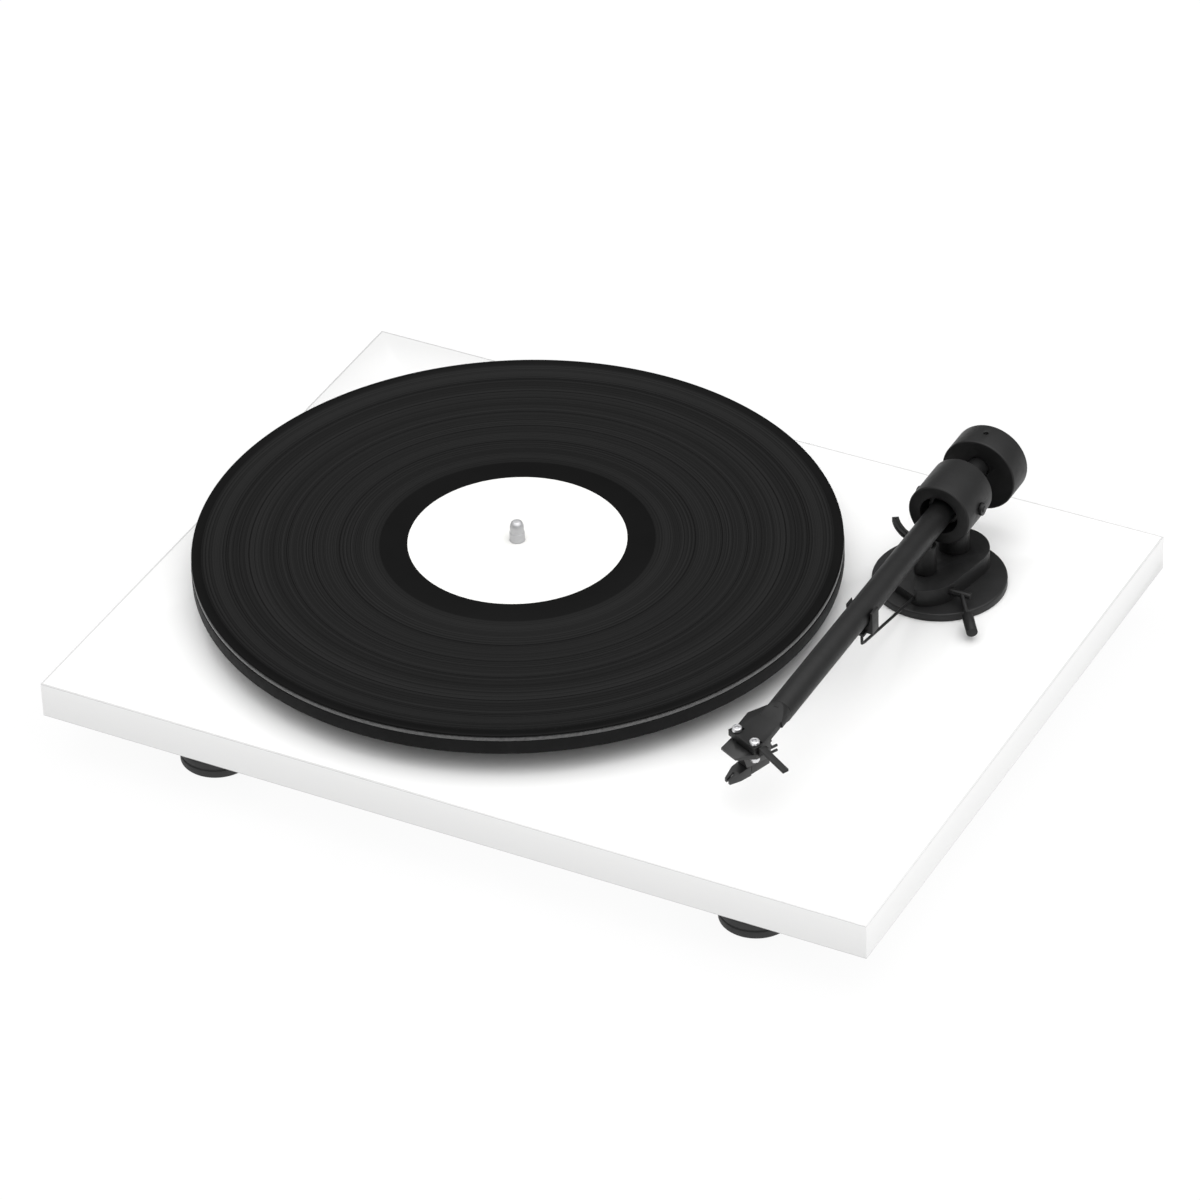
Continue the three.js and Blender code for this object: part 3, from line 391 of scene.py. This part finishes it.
def pale_floor():
    surface = Surface("pale_floor", grey(0.06), 1.0, specular=0.0)
    surface.colours(surface.noise(6), grey(0.055), grey(0.065))
    surface.shader.inputs["Emission Color"].default_value = (1, 1, 1, 1)
    surface.shader.inputs["Emission Strength"].default_value = 0.92
    return surface.material


# Painted shade: a greyer band this wide and this deep along the plinth top's edges, standing in for
# the shading of its rounded edges.
EDGE_LINE = 0.9 * MM
EDGE_DEPTH = 0.4 * MM
EDGE_SHADE_WHITE = (0.57, 0.57, 0.568)
PLINTH_WHITE = (0.79, 0.79, 0.787)


def white_lacquer():
    """Gloss white paint, with painted shade: a greyer line along the top's sharp edges, standing in
    for the shading of the rounded edges.
    """
    surface = Surface("white_lacquer", grey(0.82), 0.32)
    low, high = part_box("plinth")
    inside = surface.vector("SUBTRACT", surface.place, (low + high) / 2).outputs[0]
    inside = surface.vector("ABSOLUTE", inside).outputs[0]
    beyond = surface.vector("SUBTRACT", inside, (high - low) / 2).outputs[0]
    split = surface.nodes.new("ShaderNodeSeparateXYZ")
    surface.link(beyond, split.inputs[0])
    x, y, z = split.outputs
    rim = surface.maths("GREATER_THAN", surface.maths("MAXIMUM", x, y), -EDGE_LINE)
    flat = surface.maths("GREATER_THAN", z, -EDGE_DEPTH)
    edge = surface.maths("MULTIPLY", rim, flat)
    # Painted shade along the top's edges, mixed with the paint's faint random tone.
    painted_edge_shade = surface.maths("SUBTRACT", surface.noise(14), edge)
    surface.colours(painted_edge_shade, EDGE_SHADE_WHITE, PLINTH_WHITE, 0.0, 0.05)
    surface.roughness(surface.noise(25, 2), 0.3, 0.36)
    surface.bump(surface.noise(180, 0), 0.000006)
    surface.shader.inputs["Coat Weight"].default_value = 0.3
    surface.shader.inputs["Coat Roughness"].default_value = 0.12
    return surface.material


def satin_black(name, low=0.004, high=0.0065, rough=(0.42, 0.52), specular=0.3):
    surface = Surface(name, grey(low), rough[0], specular=specular)
    surface.colours(surface.noise(90, 5), grey(low), (high, high, high * 1.03))
    surface.roughness(surface.noise(300, 4), *rough)
    surface.bump(surface.noise(2600, 3), 0.000012)
    return surface.material


def moulded(name, low, high, rough=(0.55, 0.7), grain=1500, depth=0.00003):
    surface = Surface(name, grey(low), rough[0])
    surface.colours(surface.noise(120, 4), grey(low), grey(high))
    surface.roughness(surface.noise(240, 4), *rough)
    surface.bump(surface.noise(grain, 2), depth)
    return surface.material


TOOL_MARKS = (1, 1, 60)  # turned metal's marks are far finer along its axis


def metal(name, low, high, rough=(0.22, 0.38), metallic=1.0):
    surface = Surface(name, low, rough[0], metallic=metallic)
    surface.colours(surface.noise(150, 5, TOOL_MARKS), low, high)
    surface.roughness(surface.noise(500, 4, TOOL_MARKS), *rough)
    surface.bump(surface.noise(900, 2, TOOL_MARKS), 0.000006)
    return surface.material


def felt_grey():
    surface = Surface("felt_grey", grey(0.11), 0.95, specular=0.1)
    surface.colours(surface.noise(700, 6), grey(0.06), grey(0.11))
    surface.bump(surface.noise(2200, 5), 0.0002)
    surface.shader.inputs["Sheen Weight"].default_value = 0.4
    return surface.material


def label_paper():
    surface = Surface("label_paper", (0.7, 0.7, 0.68), 0.75, specular=0.2)
    surface.colours(surface.noise(900, 6), (0.69, 0.69, 0.672), (0.715, 0.715, 0.7))
    surface.bump(surface.noise(1600, 5), 0.00002)
    return surface.material


def vinyl(centre):
    """Pressed vinyl: fine grooves whose depth and gloss change from band to band with the music.
    Its black colour carries painted sheen: lighter and darker rings standing in for the light the
    grooves reflect.
    """
    surface = Surface("vinyl", grey(0.005), 0.4, specular=0.08)
    radius = surface.across(centre)
    broad = surface.ring_noise(radius, 110, 2)
    lines = surface.ring_noise(radius, 900, 5)
    threads = surface.ring_noise(radius, 1700, 3)
    grooves = surface.ring_noise(radius, 3400, 2)
    # Painted sheen: these rings of lighter and darker colour stand in for the grooves' reflections.
    painted_groove_sheen = surface.maths("MULTIPLY", broad, 0.2)
    painted_groove_sheen = surface.maths("MULTIPLY_ADD", lines, 0.3, painted_groove_sheen)
    painted_groove_sheen = surface.maths("MULTIPLY_ADD", threads, 0.5, painted_groove_sheen)
    surface.colours(painted_groove_sheen, grey(0.0018), grey(0.0112), 0.39, 0.61)
    surface.roughness(broad, 0.36, 0.5)
    surface.bump(lines, 0.00008)
    surface.bump(grooves, 0.00002)
    return surface.material


def vinyl_smooth():
    surface = Surface("vinyl_smooth", grey(0.002), 0.3, specular=0.06)
    surface.colours(surface.noise(40, 3), grey(0.0017), grey(0.0025))
    surface.roughness(surface.noise(80, 3), 0.3, 0.36)
    return surface.material


# ---------------------------------------------------------------- plinth and feet


def dress_plinth():
    carry("plinth", white_lacquer(), 0.7 * MM)


def dress_feet():
    rubber = moulded("foot_rubber", 0.018, 0.026, (0.6, 0.75))
    for node in ("foot_front_left", "foot_front_right", "foot_rear_left", "foot_rear_right"):
        centre, radius, height = seat(node)
        profile = [
            (0, 0.8 * MM),
            (radius - 4 * MM, 0.8 * MM),
            (radius - 4 * MM, 0),
            (radius - 1 * MM, 0),
            (radius, 1 * MM),
            (radius, 4.2 * MM),
            (radius - 0.7 * MM, 4.5 * MM),
            (radius - 0.7 * MM, 5.2 * MM),
            (radius, 5.5 * MM),
            (radius, 8.5 * MM),
            (radius - 3.5 * MM, 13 * MM),
            (radius - 3.5 * MM, height),
            (0, height),
        ]
        piece = turned(node + "_moulding", rounded(profile, 0.4 * MM), centre, FOOT_SIDES)
        stands_for(piece, node, "base", rubber)


# ---------------------------------------------------------------- platter and record


def dress_platter():
    black = satin_black("platter_black", 0.004, 0.0058, (0.5, 0.6), 0.1)
    centre, radius, height = seat("platter")
    bore = 3.9 * MM
    profile = [
        (bore, 0),
        (radius - 8 * MM, 0),
        (radius - 8 * MM, 0.6 * MM),
        (radius - 6 * MM, 0.6 * MM),
        (radius - 6 * MM, 0),
        (radius, 0),
        (radius, height),
        (bore, height),
        (bore, 0),
    ]
    piece = turned("platter_disc", rounded(profile, 0.5 * MM), centre, WIDE_SIDES)
    stands_for(piece, "platter", "turning_platter", black)


def dress_mat():
    centre, radius, height = seat("felt_mat")
    bore = 4.1 * MM
    profile = [(bore, 0), (radius, 0), (radius, height), (bore, height), (bore, 0)]
    piece = turned("mat_disc", rounded(profile, 0.6 * MM), centre, WIDE_SIDES)
    stands_for(piece, "felt_mat", "turning_platter", felt_grey())


RECORD_BORE = 3.7 * MM
LABEL_RADIUS = 51 * MM
RUN_OUT = 64.5 * MM
RUN_IN = 4.6 * MM
TRACK_ENDS = (83 * MM, 95.6 * MM, 107.6 * MM, 125.2 * MM, 136 * MM)
GAP = 0.3 * MM  # half the width of the smooth ring between two tracks
SLOPE = 0.2 * MM


def dress_record():
    centre, radius, top = seat("record")
    sunk = top - 0.28 * MM
    ring = top - 0.05 * MM
    edge_in = radius - RUN_IN
    profile = [
        (RECORD_BORE, 0),
        (radius - 0.7 * MM, 0),
        (radius, 0.45 * MM),
        (radius, top - 0.5 * MM),
        (radius - 0.15 * MM, top - 0.2 * MM),
        (radius - 0.5 * MM, top - 0.03 * MM),
        (radius - 1.2 * MM, top),
        (edge_in + 0.5 * MM, top),
        (edge_in, sunk),
    ]
    for track in reversed(TRACK_ENDS):
        profile += [
            (track + GAP + SLOPE, sunk),
            (track + GAP, sunk - 0.04 * MM),
            (track - GAP, sunk - 0.04 * MM),
            (track - GAP - SLOPE, sunk),
        ]
    profile += [
        (RUN_OUT, sunk),
        (RUN_OUT - 0.8 * MM, ring),
        (LABEL_RADIUS + 0.6 * MM, ring),
        (LABEL_RADIUS, top),
        (RECORD_BORE, top),
        (RECORD_BORE, 0),
    ]
    piece = turned("record_disc", profile, centre, WIDE_SIDES, 60)
    stands_for(piece, "record", "record", vinyl(centre))
    piece.data.materials.append(vinyl_smooth())
    for face in piece.data.polygons:
        place = face.center - centre
        r = Vector((place.x, place.y)).length
        grooved = RUN_OUT < r < edge_in and place.z > top / 2
        between = any(abs(r - track) < GAP for track in TRACK_ENDS)
        face.material_index = 0 if grooved and not between else 1


def dress_label():
    """A paper disc with the pressing ring that a record's label has round its hole."""
    centre, radius, height = seat("record_label")
    profile = [
        (RECORD_BORE, 0),
        (radius, 0),
        (radius, height * 0.6),
        (radius - 0.3 * MM, height),
        (16.6 * MM, height),
        (16.2 * MM, height - 0.08 * MM),
        (15.8 * MM, height),
        (RECORD_BORE, height),
        (RECORD_BORE, 0),
    ]
    piece = turned("label_disc", profile, centre, WIDE_SIDES)
    stands_for(piece, "record_label", "record", label_paper())


def dress_spindle():
    """A pin with a slightly narrower, domed end above a faint shoulder."""
    centre, radius, height = seat("spindle")
    profile = [
        (0, 0),
        (radius - 0.4 * MM, 0),
        (radius, 0.4 * MM),
        (radius, height - 6.2 * MM),
        (radius - 0.25 * MM, height - 5.9 * MM),
        (radius - 0.35 * MM, height - 2.6 * MM),
        (radius - 0.9 * MM, height - 1.0 * MM),
        (radius - 1.8 * MM, height - 0.15 * MM),
        (0, height),
    ]
    satin = metal("satin_steel", (0.46, 0.46, 0.47), (0.52, 0.52, 0.53), (0.4, 0.5), 0.7)
    piece = turned("spindle_pin", rounded(profile, 0.35 * MM), centre, SPINDLE_SIDES, 40)
    stands_for(piece, "spindle", "turning_platter", satin)


# ---------------------------------------------------------------- tonearm


def dress_arm(black, dark, steel):
    # Painted light: a lighter copy of the arm's satin black, so the base disc and platform read
    # brighter where they sit in the arm's shade.
    lit_base_black = satin_black("lit_base_black", 0.0075, 0.0105)
    for node in ("arm_base_disc", "arm_platform"):
        carry(node, lit_base_black, 0.35 * MM)
    for node in ("arm_pillar", "lift_post", "arm_housing", "yaw_shaft"):
        carry(node, black, 0.35 * MM)
    for node in ("counterweight", "counterweight_stub", "arm_tube", "headshell"):
        carry(node, black, 0.3 * MM)
    for node in ("lift_bank", "lift_lever", "lever_knob", "arm_rest_wire", "arm_rest_cradle"):
        carry(node, black, 0.15 * MM)
    for node in ("pivot_screw_left", "pivot_screw_right", "finger_lift"):
        carry(node, black, 0.15 * MM)
    for node in ("gimbal_block", "stylus"):
        carry(node, dark, 0.15 * MM)
    for node in ("cartridge_body", "stylus_guard"):
        carry(node, dark, 0.12 * MM)
    for side in ("left", "right"):
        carry("cartridge_screw_" + side, steel, 0.12 * MM)
        carry("cartridge_nut_" + side, steel, 0.12 * MM)
    carry("counterweight_screw", steel, 0.1 * MM)


# ---------------------------------------------------------------- underside


def dress_underside(plastic, steel):
    brass = metal("turned_brass", (0.6, 0.42, 0.2), (0.68, 0.5, 0.26))
    chrome = metal("chrome", (0.75, 0.76, 0.78), (0.82, 0.83, 0.85), (0.06, 0.14))
    board = moulded("board_green", 0.02, 0.03)
    for node in ("bottom_cover", "motor_mount", "terminal_block", "switch_housing", "sub_platter"):
        carry(node, plastic, 0.4 * MM)
    for node in ("switch_rocker", "power_socket"):
        carry(node, plastic, 0.25 * MM)
    for node in ("main_bearing", "motor_pulley"):
        carry(node, brass, 0.2 * MM)
    for node in ("motor", "thrust_ball", "pillar_nut", "ground_post"):
        carry(node, steel, 0.2 * MM)
    for node in ("cover_screw_1", "cover_screw_2", "cover_screw_3", "cover_screw_4"):
        carry(node, steel, 0.1 * MM)
    for node in ("phono_socket_left", "phono_socket_right"):
        carry(node, chrome, 0.15 * MM)
    carry("circuit_board", board, 0.1 * MM)
    carry("drive_belt", moulded("belt_rubber", 0.015, 0.02), 0.1 * MM)


def main():
    make_camera()
    make_studio()
    black = satin_black("arm_black")
    dark = moulded("gloss_black", 0.012, 0.018, (0.3, 0.4), 3000, 0.00001)
    plastic = moulded("moulded_black", 0.02, 0.03)
    steel = metal("turned_steel", (0.6, 0.6, 0.61), (0.7, 0.7, 0.71))
    dress_plinth()
    dress_feet()
    dress_platter()
    dress_mat()
    dress_record()
    dress_label()
    dress_spindle()
    dress_arm(black, dark, steel)
    dress_underside(plastic, steel)


main()
sizes = {"cad": CAD_BOUNDS, "visual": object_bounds()}
sizes = {name: [list(corner) for corner in box] for name, box in sizes.items()}
